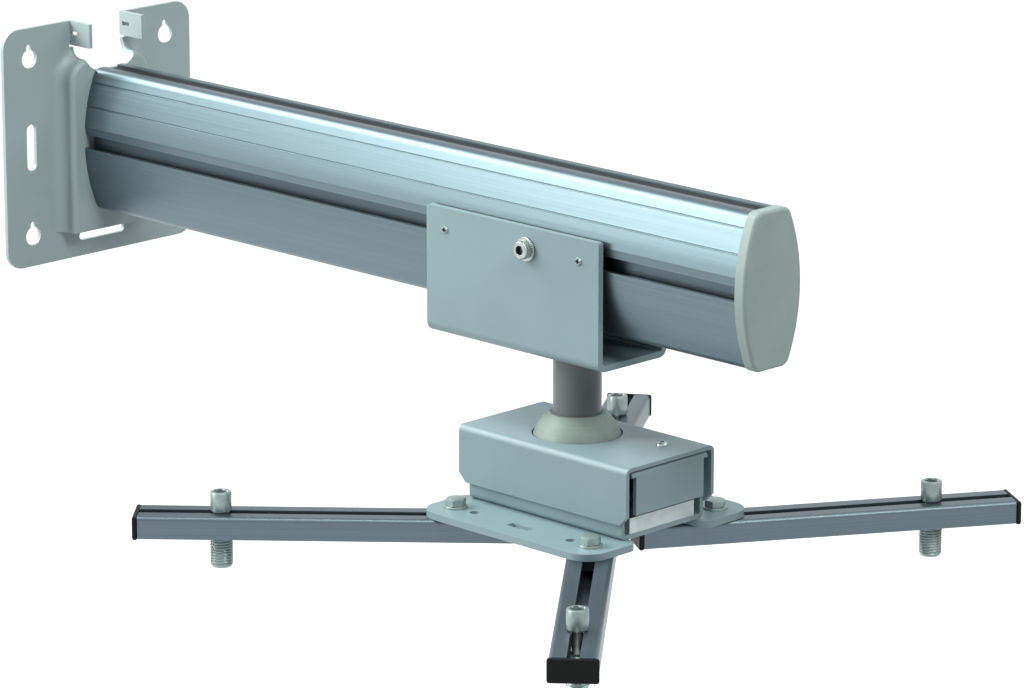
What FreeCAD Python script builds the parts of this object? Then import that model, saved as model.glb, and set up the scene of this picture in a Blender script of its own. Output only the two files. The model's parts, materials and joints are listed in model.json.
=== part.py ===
import FreeCAD, Part
import math
import os
import types

import Sketcher

# Projector wall mount: a wall bracket, an extruded boom, a carriage that slides along it, a post
# that ends in a ball, and a head with four slotted arms and their feet.
# Millimetres. The origin is the centre of the bracket's back face, +X leaves the wall, +Z is up.

SIZES = {
    # wall bracket
    "plate_width": 182,
    "plate_height": 180,
    "plate_thick": 3,
    "plate_corner": 14,
    "keyhole_span_y": 133,
    "keyhole_span_z": 134,
    "keyhole_dia": 14,
    "keyhole_neck": 5,
    "keyhole_rise": 8.5,
    "side_slot_span": 132,
    "side_slot_length": 35,
    "side_slot_width": 9,
    "drain_slot_length": 44,
    "drain_slot_height": 6.5,
    "drain_slot_drop": 75,
    "notch_width": 48,
    "notch_floor": 53,
    "notch_corner": 13,
    "lug_reach": 22,
    "lug_height": 18,
    "lug_thick": 3,
    "lug_relief": 1,
    "lug_relief_height": 2,
    "lug_slot_reach": 8,
    "lug_slot_height": 3,
    "collar_width": 76,
    "collar_reach": 14.5,
    "collar_top": 62,
    "collar_drop": 68,
    "collar_wall": 3,
    "collar_blend": 8,
    "collar_corner": 16,
    "collar_edge": 4,
    # boom
    "boom_rise": 1,
    "boom_length": 653.5,
    "boom_height": 107,
    "boom_width": 54.6,
    "boom_flat": 30,
    "boom_wall": 3,
    "boom_corner": 7,
    "cable_slot": 12,
    "tslot_mouth": 10,
    "tslot_width": 18,
    "tslot_depth": 6,
    "tslot_lip": 3.5,
    "tslot_wall": 2.5,
    "bevel_height": 9,
    "bevel_depth": 1.6,
    "groove_high": 43.5,
    "groove_low": 26.5,
    "groove_radius": 0.7,
    "port_height": 38,
    "port_bore": 4.2,
    "port_wall": 2,
    "end_cap_thick": 9,
    "end_cap_lip": 0.8,
    "end_cap_edge": 2.5,
    "end_cap_peg": 14,
    "strip_sink": 1.2,
    "strip_lip": 1.2,
    "strip_thick": 1.5,
    "strip_start": 4,
    "boom_screw_head": 9,
    "boom_screw_length": 28,
    # carriage
    "carriage_x": 470.5,
    "carriage_length": 165,
    "carriage_thick": 4.5,
    "carriage_gap": 2,
    "carriage_top": 15.5,
    "carriage_drop": 75.2,
    "carriage_bend": 2.5,
    "carriage_corner": 2,
    "clamp_offset": 14.5,
    "clamp_screw_dia": 8,
    "clamp_head_dia": 13,
    "clamp_head_height": 5.5,
    "clamp_socket": 6,
    "clamp_washer_dia": 17,
    "clamp_washer_thick": 1.6,
    "slot_nut_length": 30,
    "guide_span": 128,
    "guide_screw_dia": 3,
    "guide_head_dia": 5.6,
    "guide_pad_length": 24,
    "guide_pad_depth": 7,
    # post and ball
    "post_offset": 30.5,
    "post_length": 68.1,
    "post_dia": 33.7,
    "post_wall": 3,
    "post_plug_length": 22,
    "post_bolt_dia": 12,
    "post_bolt_head": 19,
    "post_bolt_head_height": 7.5,
    "post_washer_dia": 24,
    "post_washer_thick": 2.5,
    "ball_radius": 32,
    "ball_top": 25.5,
    "ball_foot": 22,
    "ball_bore_floor": 5,
    "liner_thick": 3,
    "liner_top": 8,
    "liner_foot": 24,
    # head
    "head_offset": 8,
    "ball_sink": 10.5,
    "head_height": 52.7,
    "housing_length": 160.4,
    "housing_width": 87,
    "housing_thick": 3,
    "housing_height": 41,
    "housing_bend": 1.5,
    "housing_chamfer": 6.5,
    "frame_recess": 0.4,
    "frame_side_gap": 4.1,
    "frame_height": 31.5,
    "frame_thick": 3,
    "frame_hole_gap": 2,
    "channel_length": 146,
    "channel_height": 34,
    "channel_thick": 3,
    "sheet_bend": 1.5,
    "cup_top": 10,
    "cup_base_height": 11.5,
    "cup_base_inset": 0.5,
    "cup_base_side_gap": 5.5,
    "clamp_bolt_inset": 20.8,
    "clamp_bolt_edge": 10.4,
    "clamp_bolt_dia": 6,
    "clamp_bolt_head": 11.5,
    "clamp_nut_flats": 10,
    "clamp_nut_height": 5,
    "top_screw_inset_x": 24.2,
    "top_screw_inset_y": 26.5,
    "top_screw_dia": 5,
    "top_screw_head": 8.5,
    "top_screw_head_height": 2.4,
    "top_screw_length": 12,
    "spider_thick": 5,
    "ear_span_x": 129,
    "ear_span_y": 124,
    "ear_reach_x": 18,
    "ear_reach_y": 21,
    "ear_corner": 18,
    "side_notch_depth": 25,
    "side_notch_width": 66,
    "side_notch_corner": 9,
    "spider_hole_dia": 7,
    "spider_hole_inset": 18.5,
    "spider_slot_length": 20,
    "spider_slot_width": 6.5,
    "spider_slot_y": 64,
    # arms
    "arm_length": 275,
    "arm_width": 32,
    "arm_height": 16,
    "arm_wall": 3,
    "arm_slot": 8.4,
    "arm_edge": 3,
    "arm_cap_thick": 3.6,
    "arm_cap_lip": 0.9,
    "arm_cap_plug": 7,
    "arm_cap_edge": 1.5,
    "floor_slot_inset": 20,
    "floor_slot_length": 128,
    "pivot_bolt_dia": 8,
    "pivot_head_flats": 13,
    "pivot_head_height": 5.3,
    "pivot_washer_dia": 17,
    "pivot_washer_thick": 1.6,
    "slide_nut_length": 22,
    "slide_nut_thick": 6,
    "bolt_tip": 1.5,
    "left_angle": 222.5,
    "left_tail": 52,
    "left_foot_inset": 60.5,
    "front_angle": 311.2,
    "front_tail": 49,
    "front_foot_inset": 59,
    "right_angle": 58,
    "right_tail": 58,
    "right_foot_inset": 61,
    "back_angle": 124.9,
    "back_tail": 45,
    "back_foot_inset": 60,
    # feet
    "foot_dia": 16,
    "sleeve_dia": 14.8,
    "foot_rise": 14.8,
    "foot_drop": 23.3,
    "foot_neck": 7.8,
    "foot_neck_rise": 9,
    "foot_socket": 8,
    "foot_socket_depth": 7,
    "foot_thread_bore": 5,
    "foot_thread_depth": 14,
    # clearances
    "fit_gap": 0.1,
    "slide_gap": 0.15,
    "run_gap": 0.3,
    "hole_gap": 0.3,
    "pivot_gap": 0.06,
}

TINY = 0.001          # tolerance when edges are picked by where they lie
OVERCUT = 1           # how far a cutting tool runs past the face that it opens
X_AXIS = FreeCAD.Vector(1, 0, 0)
Y_AXIS = FreeCAD.Vector(0, 1, 0)
Z_AXIS = FreeCAD.Vector(0, 0, 1)

doc = FreeCAD.newDocument("projector_wall_mount")
sheet = doc.addObject("Spreadsheet::Sheet", "Sizes")
for row, (alias, number) in enumerate(SIZES.items(), start=1):
    sheet.set(f"A{row}", alias)
    sheet.set(f"B{row}", str(number))
    sheet.setAlias(f"B{row}", alias)
doc.recompute()


class Size:
    """A number, and the expression that ties it to the sheet."""

    def __init__(self, number, text):
        self.number = number
        self.text = text

    def __add__(self, other):
        other = as_size(other)
        return Size(self.number + other.number, f"({self.text} + {other.text})")

    def __sub__(self, other):
        other = as_size(other)
        return Size(self.number - other.number, f"({self.text} - {other.text})")

    def __mul__(self, other):
        other = as_size(other)
        return Size(self.number * other.number, f"({self.text} * {other.text})")

    def __truediv__(self, other):
        other = as_size(other)
        return Size(self.number / other.number, f"({self.text} / {other.text})")

    def __neg__(self):
        return Size(-self.number, f"(-1 * {self.text})")


def as_size(value):
    if isinstance(value, Size):
        return value
    return Size(float(value), f"({float(value)})")


def root(value):
    return Size(math.sqrt(value.number), f"sqrt({value.text})")


def cosine(angle):
    return Size(math.cos(math.radians(angle.number)), f"cos({angle.text})")


def sine(angle):
    return Size(math.sin(math.radians(angle.number)), f"sin({angle.text})")


def arc_tangent(value):
    return Size(math.degrees(math.atan(value.number)), f"(atan({value.text}) / 1deg)")


ZERO = as_size(0)
v = types.SimpleNamespace(**{alias: Size(number, f"Sizes.{alias}") for alias, number in SIZES.items()})
subparts = []


# Document helpers

def bind(obj, **values):
    for name, value in values.items():
        obj.setExpression(name, as_size(value).text)


def place(obj, x, y, z, axis=None, angle=0):
    """Puts an object at a point, turned about an axis, with both tied to the sheet."""
    turn = as_size(angle)
    if axis is not None:
        obj.Placement = FreeCAD.Placement(FreeCAD.Vector(), FreeCAD.Rotation(axis, turn.number))
    for name, value in zip("xyz", (x, y, z)):
        obj.setExpression(f"Placement.Base.{name}", as_size(value).text)
    if axis is not None and isinstance(angle, Size):
        obj.setExpression("Placement.Rotation.Angle", turn.text)
    return obj


def subpart(obj):
    """Marks a finished object as one of the pieces that are written out."""
    subparts.append(obj)
    return obj


def box(name, xs, ys, zs):
    """A block between two corners, each direction given as a (low, high) pair."""
    obj = doc.addObject("Part::Box", name)
    spans = [(as_size(low), as_size(high)) for low, high in (xs, ys, zs)]
    length, width, height = [high - low for low, high in spans]
    bind(obj, Length=length, Width=width, Height=height)
    return place(obj, *[low for low, high in spans])


def both_ways(value):
    return (-as_size(value), as_size(value))


def lay(obj, span, axis, centre):
    """Lays a turned solid along an axis, from the start of its span, on a centre line."""
    a, b = centre
    if axis == "X":
        return place(obj, span[0], a, b, Y_AXIS, 90)
    if axis == "Y":
        return place(obj, a, span[0], b, X_AXIS, -90)
    return place(obj, a, b, span[0])


def rod(name, radius, span, axis, centre):
    obj = doc.addObject("Part::Cylinder", name)
    bind(obj, Radius=radius, Height=as_size(span[1]) - span[0])
    return lay(obj, span, axis, centre)


def taper(name, start_radius, end_radius, span, axis, centre):
    obj = doc.addObject("Part::Cone", name)
    bind(obj, Radius1=start_radius, Radius2=end_radius, Height=as_size(span[1]) - span[0])
    return lay(obj, span, axis, centre)


def hexagon(name, flats, span, axis, centre):
    """A six-sided prism, sized across its flats."""
    obj = doc.addObject("Part::Prism", name)
    obj.Polygon = 6
    bind(obj, Circumradius=as_size(flats) / math.sqrt(3), Height=as_size(span[1]) - span[0])
    return lay(obj, span, axis, centre)


def globe(name, radius, centre):
    obj = doc.addObject("Part::Sphere", name)
    bind(obj, Radius=radius)
    return place(obj, *centre)


def fuse(name, *pieces):
    obj = doc.addObject("Part::MultiFuse", name)
    obj.Shapes = list(pieces)
    return obj


def common(name, *pieces):
    obj = doc.addObject("Part::MultiCommon", name)
    obj.Shapes = list(pieces)
    return obj


def cut(name, base, *tools):
    obj = doc.addObject("Part::Cut", name)
    obj.Base = base
    obj.Tool = tools[0] if len(tools) == 1 else fuse(f"{name}_tools", *tools)
    return obj


def group(name, pieces):
    """Separate solids that share one node."""
    obj = doc.addObject("Part::Compound", name)
    obj.Links = list(pieces)
    return obj


def rounded(name, base, *rounds):
    """Rounds edges of a Part object: each round is a (radius, edge test) pair."""
    doc.recompute()
    obj = doc.addObject("Part::Fillet", name)
    obj.Base = base
    chosen = []
    for radius, test in rounds:
        for index, edge in enumerate(base.Shape.Edges, start=1):
            if test(edge):
                chosen.append((index, radius.number, radius.number))
    obj.Edges = chosen
    return obj


def runs_along(axis, *places):
    """Tests for a straight edge along an axis (0, 1 or 2) that crosses one of the given places."""
    others = [index for index in range(3) if index != axis]

    def test(edge):
        ends = [vertex.Point for vertex in edge.Vertexes]
        if len(ends) != 2 or abs(ends[0][axis] - ends[1][axis]) < TINY:
            return False
        for spot in places:
            wanted = [as_size(value).number for value in spot]
            if all(abs(end[o] - w) < TINY for end in ends for o, w in zip(others, wanted)):
                return True
        return False

    return test


def lies_at(axis, value, low=None):
    """Tests for an edge whose every point has one coordinate, above a low Z limit if given."""
    level = as_size(value).number

    def test(edge):
        bounds = edge.BoundBox
        lows = (bounds.XMin, bounds.YMin, bounds.ZMin)
        highs = (bounds.XMax, bounds.YMax, bounds.ZMax)
        flat = abs(lows[axis] - level) < TINY and abs(highs[axis] - level) < TINY
        return flat and (low is None or highs[2] > low.number + TINY)

    return test


# Sketched bodies

def sketch_on(body, name, role):
    sketch = body.newObject("Sketcher::SketchObject", name)
    plane = next(feature for feature in body.Origin.OriginFeatures if feature.Role == role)
    sketch.AttachmentSupport = (plane, [""])
    sketch.MapMode = "FlatFace"
    return sketch


def pin_point(sketch, geometry, point, spot):
    """Ties a point of a sketch to its distances from the sketch's origin."""
    for kind, value in zip(("DistanceX", "DistanceY"), spot):
        size = as_size(value)
        index = sketch.addConstraint(Sketcher.Constraint(kind, -1, 1, geometry, point, size.number))
        sketch.setExpression(f"Constraints[{index}]", size.text)


def outline(body, name, role, corners):
    """A closed straight-sided sketch through corners, each an (across, up) pair."""
    sketch = sketch_on(body, name, role)
    points = [FreeCAD.Vector(as_size(a).number, as_size(b).number, 0) for a, b in corners]
    count = len(points)
    for index in range(count):
        sketch.addGeometry(Part.LineSegment(points[index], points[(index + 1) % count]))
    for index in range(count):
        sketch.addConstraint(Sketcher.Constraint("Coincident", index, 2, (index + 1) % count, 1))
        pin_point(sketch, index, 1, corners[index])
    return sketch


def circles(body, name, role, radius, centres):
    sketch = sketch_on(body, name, role)
    for index, (a, b) in enumerate(centres):
        centre = FreeCAD.Vector(as_size(a).number, as_size(b).number, 0)
        sketch.addGeometry(Part.Circle(centre, Z_AXIS, radius.number))
        pin_point(sketch, index, 3, (a, b))
        size = sketch.addConstraint(Sketcher.Constraint("Radius", index, radius.number))
        sketch.setExpression(f"Constraints[{size}]", radius.text)
    return sketch


def pad(body, sketch, length, side="Symmetric"):
    obj = body.newObject("PartDesign::Pad", f"{sketch.Name}_pad")
    obj.Profile = sketch
    obj.SideType = side
    bind(obj, Length=length)
    return obj


def pocket_through(body, sketch):
    """Cuts a sketch through everything on both sides of its plane."""
    obj = body.newObject("PartDesign::Pocket", f"{sketch.Name}_cut")
    obj.Profile = sketch
    obj.SideType = "Symmetric"
    obj.Type = "ThroughAll"
    return obj


def round_edges(body, name, radius, test):
    """Rounds chosen edges of a body's newest feature."""
    doc.recompute()
    base = body.Tip
    obj = body.newObject("PartDesign::Fillet", name)
    edges = [f"Edge{i}" for i, edge in enumerate(base.Shape.Edges, start=1) if test(edge)]
    obj.Base = (base, edges)
    bind(obj, Radius=radius)
    return obj


def folded_channel(name, half_width, length, thick, web, free, bend):
    """A sheet folded to a U along X: web is the closed face's height, free that of the two rims."""
    body = doc.addObject("PartDesign::Body", name)
    inner = half_width - thick
    inside = web + thick if free.number > web.number else web - thick
    section = [(-half_width, web), (half_width, web), (half_width, free), (inner, free),
               (inner, inside), (-inner, inside), (-inner, free), (-half_width, free)]
    pad(body, outline(body, f"{name}_section", "YZ_Plane", section), length)
    outer_bends = runs_along(0, (half_width, web), (-half_width, web))
    inner_bends = runs_along(0, (inner, inside), (-inner, inside))
    round_edges(body, f"{name}_outer_bend", bend + thick, outer_bends)
    round_edges(body, f"{name}_inner_bend", bend, inner_bends)
    return body


# Shared positions

collar_front = v.plate_thick + v.collar_reach
screw_seat = collar_front - v.collar_wall
boom_start = collar_front
boom_end = boom_start + v.boom_length
boom_half = v.boom_width / 2
boom_bulge = (v.boom_width - v.boom_flat) / 2
boom_half_height = v.boom_height / 2
side_radius = (boom_bulge * boom_bulge + boom_half_height * boom_half_height) / (boom_bulge * 2)
side_centre = side_radius - boom_half
boom_roof = v.boom_rise + boom_half_height
tslot_z = v.boom_rise

bracket_inner = boom_half + v.carriage_gap
bracket_outer = bracket_inner + v.carriage_thick
carriage_floor = v.boom_rise - v.carriage_drop
carriage_rim = v.boom_rise + v.carriage_top
clamp_x = v.carriage_x + v.clamp_offset
guide_xs = [v.carriage_x - v.guide_span / 2, v.carriage_x + v.guide_span / 2]

post_x = v.carriage_x + v.post_offset
ball_z = carriage_floor - v.post_length
head_x = post_x + v.head_offset
housing_roof = ball_z + v.ball_sink
spider_top = housing_roof - v.head_height
spider_floor = spider_top - v.spider_thick
arm_top = spider_floor - v.slide_gap
housing_inner = v.housing_width / 2 - v.housing_thick
channel_half = housing_inner - v.fit_gap
channel_inner = channel_half - v.channel_thick
frame_half = v.housing_length / 2 - v.frame_recess
frame_inner = frame_half - v.frame_thick
clamp_bolt_span_x = (frame_inner - v.clamp_bolt_inset) * 2
clamp_bolt_span_y = (channel_inner - v.clamp_bolt_edge) * 2
top_screw_x = v.housing_length / 2 - v.top_screw_inset_x
top_screw_y = v.housing_width / 2 - v.top_screw_inset_y


def boom_half_width(height):
    """Half the boom's outside width at a height above its middle."""
    return root(side_radius * side_radius - height * height) - side_centre


def lens(name, inset, span, corner=None):
    """The boom's lens-shaped section, drawn in by an inset, with its corners rounded if asked."""
    radius = side_radius - inset
    rise = boom_half_height - inset
    left = rod(f"{name}_left", radius, span, "X", (side_centre, v.boom_rise))
    right = rod(f"{name}_right", radius, span, "X", (-side_centre, v.boom_rise))
    slab = box(f"{name}_slab", span, both_ways(boom_half - inset), (v.boom_rise - rise, v.boom_rise + rise))
    whole = common(name, left, right, slab)
    if corner is None:
        return whole
    flank = root(radius * radius - rise * rise) - side_centre
    edges = [(y, z) for y in both_ways(flank) for z in (v.boom_rise - rise, v.boom_rise + rise)]
    return rounded(f"{name}_rounded", whole, (corner, runs_along(0, *edges)))


def outward(side, low, high):
    """A span of Y given by its distances from the boom's middle, on one side of it."""
    return (as_size(low), as_size(high)) if side > 0 else (-as_size(high), -as_size(low))


port_y = boom_half_width(v.port_height) - v.boom_wall - v.port_bore / 2
port_low_z = v.boom_rise - boom_half_height + v.boom_wall + v.port_bore / 2
port_high_z = v.boom_rise + v.port_height
ports = [(port_y, port_high_z), (-port_y, port_high_z), (ZERO, port_low_z)]


# Wall bracket

def wall_bracket():
    """One pressed sheet: a flat plate, a hollow collar that the boom is screwed to, and two cable lugs."""
    half_y = v.plate_width / 2
    half_z = v.plate_height / 2
    plate = box("plate_blank", (0, v.plate_thick), both_ways(half_y), both_ways(half_z))
    corners = [(y, z) for y in both_ways(half_y) for z in both_ways(half_z)]
    plate = rounded("plate", plate, (v.plate_corner, runs_along(0, *corners)))

    collar_half = v.collar_width / 2
    collar = box("collar_blank", (0, collar_front), both_ways(collar_half), (-v.collar_drop, v.collar_top))
    shoulders = runs_along(0, (collar_half, v.collar_top), (-collar_half, v.collar_top))
    collar = rounded("collar", collar, (v.collar_corner, shoulders))
    casting = fuse("plate_and_collar", plate, collar)

    def foot_of_collar(edge):
        at_plate = lies_at(0, v.plate_thick, -v.collar_drop)(edge)
        bounds = edge.BoundBox
        return at_plate and max(-bounds.YMin, bounds.YMax) < collar_half.number + TINY

    rim = lies_at(0, collar_front, -v.collar_drop)
    casting = rounded("casting", casting, (v.collar_blend, foot_of_collar), (v.collar_edge, rim))

    room_half = collar_half - v.collar_wall
    room_top = v.collar_top - v.collar_wall
    behind = (-v.collar_reach, ZERO)
    room = box("collar_room_blank", (-v.collar_reach, screw_seat), both_ways(room_half),
               (v.collar_wall - v.collar_drop, room_top))
    room_shoulders = runs_along(0, (room_half, room_top), (-room_half, room_top))
    room = rounded("collar_room", room, (v.collar_corner - v.collar_wall, room_shoulders))
    wall_side = box("collar_wall_side", behind, both_ways(half_y), both_ways(half_z))
    room = fuse("collar_room_and_back", room, wall_side)

    def mouth_of_room(edge):
        at_back = lies_at(0, ZERO, v.collar_wall - v.collar_drop)(edge)
        bounds = edge.BoundBox
        return at_back and max(-bounds.YMin, bounds.YMax) < room_half.number + TINY

    room = rounded("collar_hollow", room, (v.collar_blend + v.collar_wall, mouth_of_room))

    deep = (-OVERCUT, collar_front + OVERCUT)
    through = (-OVERCUT, v.plate_thick + OVERCUT)
    notch_half = v.notch_width / 2
    lug_floor = half_z - v.lug_height
    notch = box("notch_blank", deep, both_ways(notch_half), (v.notch_floor, half_z + OVERCUT))
    notch_corners = runs_along(0, (notch_half, v.notch_floor), (-notch_half, v.notch_floor))
    tools = [room, rounded("notch", notch, (v.notch_corner, notch_corners)),
             box("lug_relief_cut", deep, both_ways(notch_half + v.lug_thick + v.lug_relief),
                 (lug_floor - v.lug_relief_height, lug_floor))]
    for side in (-1, 1):
        for end in (-1, 1):
            y = v.keyhole_span_y / 2 * side
            z = v.keyhole_span_z / 2 * end
            tag = f"{'left' if side < 0 else 'right'}_{'low' if end < 0 else 'high'}"
            neck_half = v.keyhole_neck / 2
            tools.append(rod(f"keyhole_{tag}", v.keyhole_dia / 2, through, "X", (y, z)))
            tools.append(box(f"keyhole_neck_{tag}", through, (y - neck_half, y + neck_half),
                             (z, z + v.keyhole_rise)))
            tools.append(rod(f"keyhole_tip_{tag}", neck_half, through, "X", (y, z + v.keyhole_rise)))
        y = v.side_slot_span / 2 * side
        slot_half = v.side_slot_width / 2
        slot_reach = v.side_slot_length / 2 - slot_half
        tag = "left" if side < 0 else "right"
        slot_ys = (y - slot_half, y + slot_half)
        tools.append(box(f"side_slot_{tag}", through, slot_ys, both_ways(slot_reach)))
        for end in (-1, 1):
            tools.append(rod(f"side_slot_{tag}_{end + 1}", slot_half, through, "X", (y, slot_reach * end)))
    drain_half = v.drain_slot_height / 2
    drain_reach = v.drain_slot_length / 2 - drain_half
    tools.append(box("drain_slot", through, both_ways(drain_reach),
                     (-v.drain_slot_drop - drain_half, -v.drain_slot_drop + drain_half)))
    for side in (-1, 1):
        at = (drain_reach * side, -v.drain_slot_drop)
        tools.append(rod(f"drain_slot_{side + 1}", drain_half, through, "X", at))
    for index, port in enumerate(ports):
        tools.append(rod(f"screw_hole_{index}", v.port_bore / 2, deep, "X", port))
        sink = (screw_seat, screw_seat + (v.boom_screw_head - v.port_bore) / 2)
        tools.append(taper(f"screw_sink_{index}", v.boom_screw_head / 2, v.port_bore / 2, sink, "X", port))
    casting = cut("bracket_body", casting, *tools)

    lugs = []
    for side, tag in ((-1, "left"), (1, "right")):
        inner = notch_half * side
        outer = (notch_half + v.lug_thick) * side
        ys = (outer, inner) if side < 0 else (inner, outer)
        lug = box(f"lug_{tag}", (0, v.plate_thick + v.lug_reach), ys, (lug_floor, half_z))
        middle = half_z - v.lug_height / 2
        slot_span = (middle - v.lug_slot_height / 2, middle + v.lug_slot_height / 2)
        reach = (v.plate_thick / 2, v.plate_thick + v.lug_slot_reach)
        slot = box(f"lug_slot_{tag}", reach, (ys[0] - OVERCUT, ys[1] + OVERCUT), slot_span)
        lugs.append(cut(f"slotted_lug_{tag}", lug, slot))
    return fuse("wall_bracket", casting, *lugs)


# Boom

def boom():
    span = (boom_start, boom_end)
    past = (boom_start - OVERCUT, boom_end + OVERCUT)
    skin = lens("boom_skin", ZERO, span, v.boom_corner)
    shell = cut("boom_shell", skin, lens("boom_hollow", v.boom_wall, past))

    solids = [shell]
    tools = [box("cable_gap", past, both_ways(v.cable_slot / 2),
                 (boom_roof - v.boom_wall - OVERCUT, boom_roof + OVERCUT))]
    slot_back = boom_half - v.tslot_lip - v.tslot_depth
    slot_half = v.tslot_width / 2
    mouth_half = v.tslot_mouth / 2
    tilt = arc_tangent(v.bevel_depth / v.bevel_height)
    bevel_z = tslot_z + mouth_half
    cutter_width = v.bevel_depth * 3
    for side, tag in ((-1, "front"), (1, "back")):
        solids.append(box(f"tslot_block_{tag}", span,
                          outward(side, slot_back - v.tslot_wall, boom_half - v.tslot_lip / 2),
                          (tslot_z - slot_half - v.tslot_wall, tslot_z + slot_half + v.tslot_wall)))
        tools.append(box(f"tslot_room_{tag}", past, outward(side, slot_back, boom_half - v.tslot_lip),
                         (tslot_z - slot_half, tslot_z + slot_half)))
        mouth = outward(side, boom_half - v.tslot_lip - v.fit_gap, boom_half + OVERCUT)
        tools.append(box(f"tslot_mouth_{tag}", past, mouth, (tslot_z - mouth_half, tslot_z + mouth_half)))
        bevel = doc.addObject("Part::Box", f"tslot_bevel_{tag}")
        bind(bevel, Length=past[1] - past[0], Width=cutter_width, Height=v.bevel_height * 2)
        start_y = (boom_half - v.bevel_depth) * side
        start_z = bevel_z
        if side < 0:
            start_y = start_y - cutter_width * cosine(tilt)
            start_z = start_z - cutter_width * sine(tilt)
        tools.append(place(bevel, past[0], start_y, start_z, X_AXIS, tilt * -side))
        for level, height in (("high", v.groove_high), ("low", v.groove_low)):
            at = (boom_half_width(height) * side, v.boom_rise + height)
            tools.append(rod(f"groove_{tag}_{level}", v.groove_radius, past, "X", at))
    for index, port in enumerate(ports):
        solids.append(rod(f"port_{index}", v.port_bore / 2 + v.port_wall, span, "X", port))
        tools.append(rod(f"port_bore_{index}", v.port_bore / 2, past, "X", port))
    whole = common("boom_trimmed", fuse("boom_solids", *solids), skin)
    return cut("boom", whole, *tools)


def boom_end_cap():
    span = (boom_end, boom_end + v.end_cap_thick)
    face = lens("end_cap_blank", -v.end_cap_lip, span, v.boom_corner + v.end_cap_lip)
    face = rounded("end_cap_face", face, (v.end_cap_edge, lies_at(0, boom_end + v.end_cap_thick)))
    pegs = []
    for index, port in enumerate(ports):
        reach = (boom_end - v.end_cap_peg, boom_end + v.end_cap_thick / 2)
        pegs.append(rod(f"end_cap_peg_{index}", v.port_bore / 2 - v.fit_gap, reach, "X", port))
    return fuse("boom_end_cap", face, *pegs)


def cable_cover_strip():
    span = (collar_front + v.strip_start, boom_end)
    seat = boom_roof - v.boom_wall - v.fit_gap
    face_half = v.cable_slot / 2 - v.fit_gap
    face = box("strip_face", span, both_ways(face_half), (seat - v.strip_thick, boom_roof - v.strip_sink))
    tongue_half = v.cable_slot / 2 + v.strip_lip
    tongue = box("strip_tongue", span, both_ways(tongue_half), (seat - v.strip_thick, seat))
    return fuse("cable_cover_strip", face, tongue)


def boom_screws():
    """Countersunk screws through the collar's front wall into the boom's ports."""
    screws = []
    radius = v.port_bore / 2 - v.fit_gap
    for index, port in enumerate(ports):
        head = (screw_seat, screw_seat + (v.boom_screw_head - v.port_bore) / 2)
        cone = taper(f"boom_screw_head_{index}", v.boom_screw_head / 2 - v.fit_gap, radius, head, "X", port)
        reach = (screw_seat, screw_seat + v.boom_screw_length)
        shank = rod(f"boom_screw_shank_{index}", radius, reach, "X", port)
        screws.append(fuse(f"boom_screw_{index}", cone, shank))
    return group("boom_screws", screws)


# Carriage

def carriage_bracket():
    floor = carriage_floor
    body = folded_channel("carriage_bracket", bracket_outer, v.carriage_length, v.carriage_thick, floor,
                          carriage_rim, v.carriage_bend)
    half = v.carriage_length / 2
    rims = runs_along(1, (half, carriage_rim), (-half, carriage_rim))
    round_edges(body, "carriage_corners", v.carriage_corner, rims)
    clamp = [(v.clamp_offset, tslot_z)]
    clamp_hole = v.clamp_screw_dia / 2 + v.hole_gap
    pocket_through(body, circles(body, "clamp_holes", "XZ_Plane", clamp_hole, clamp))
    guide = [(v.guide_span / 2 * end, tslot_z) for end in (-1, 1)]
    pocket_through(body, circles(body, "guide_holes", "XZ_Plane", v.guide_screw_dia / 2 + v.fit_gap, guide))
    post = circles(body, "post_hole", "XY_Plane", v.post_bolt_dia / 2 + v.pivot_gap, [(v.post_offset, 0)])
    pocket_through(body, post)
    place(body, v.carriage_x, 0, 0)
    return body


def mirrored_pair(make):
    """Makes a piece for the front of the boom and its twin for the back."""
    return [make(side, tag) for side, tag in ((-1, "front"), (1, "back"))]


def clamp_screw(side, tag):
    seat = bracket_outer + v.clamp_washer_thick
    tip = boom_half - v.tslot_lip - v.tslot_depth + v.run_gap
    at = (clamp_x, tslot_z)
    head_span = outward(side, seat, seat + v.clamp_head_height)
    head = rod(f"clamp_head_{tag}", v.clamp_head_dia / 2, head_span, "Y", at)
    shank = rod(f"clamp_shank_{tag}", v.clamp_screw_dia / 2, outward(side, tip, seat + OVERCUT), "Y", at)
    floor = seat + v.clamp_head_height / 2
    socket = outward(side, floor, seat + v.clamp_head_height + OVERCUT)
    key = hexagon(f"clamp_socket_{tag}", v.clamp_socket, socket, "Y", at)
    return cut(f"clamp_screw_{tag}", fuse(f"clamp_blank_{tag}", head, shank), key)


def clamp_washer(side, tag):
    span = outward(side, bracket_outer, bracket_outer + v.clamp_washer_thick)
    at = (clamp_x, tslot_z)
    disc = rod(f"clamp_disc_{tag}", v.clamp_washer_dia / 2, span, "Y", at)
    hole = rod(f"clamp_disc_hole_{tag}", v.clamp_screw_dia / 2 + v.fit_gap, span, "Y", at)
    return cut(f"clamp_washer_{tag}", disc, hole)


def slot_nut(side, tag):
    outer = boom_half - v.tslot_lip - v.slide_gap
    span = outward(side, outer - v.tslot_depth + v.run_gap + v.slide_gap, outer)
    half = v.slot_nut_length / 2
    rise = v.tslot_width / 2 - v.run_gap
    heights = (tslot_z - rise, tslot_z + rise)
    block = box(f"slot_nut_block_{tag}", (clamp_x - half, clamp_x + half), span, heights)
    bore = rod(f"slot_nut_bore_{tag}", v.clamp_screw_dia / 2 + v.fit_gap, span, "Y", (clamp_x, tslot_z))
    return cut(f"slot_nut_{tag}", block, bore)


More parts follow.
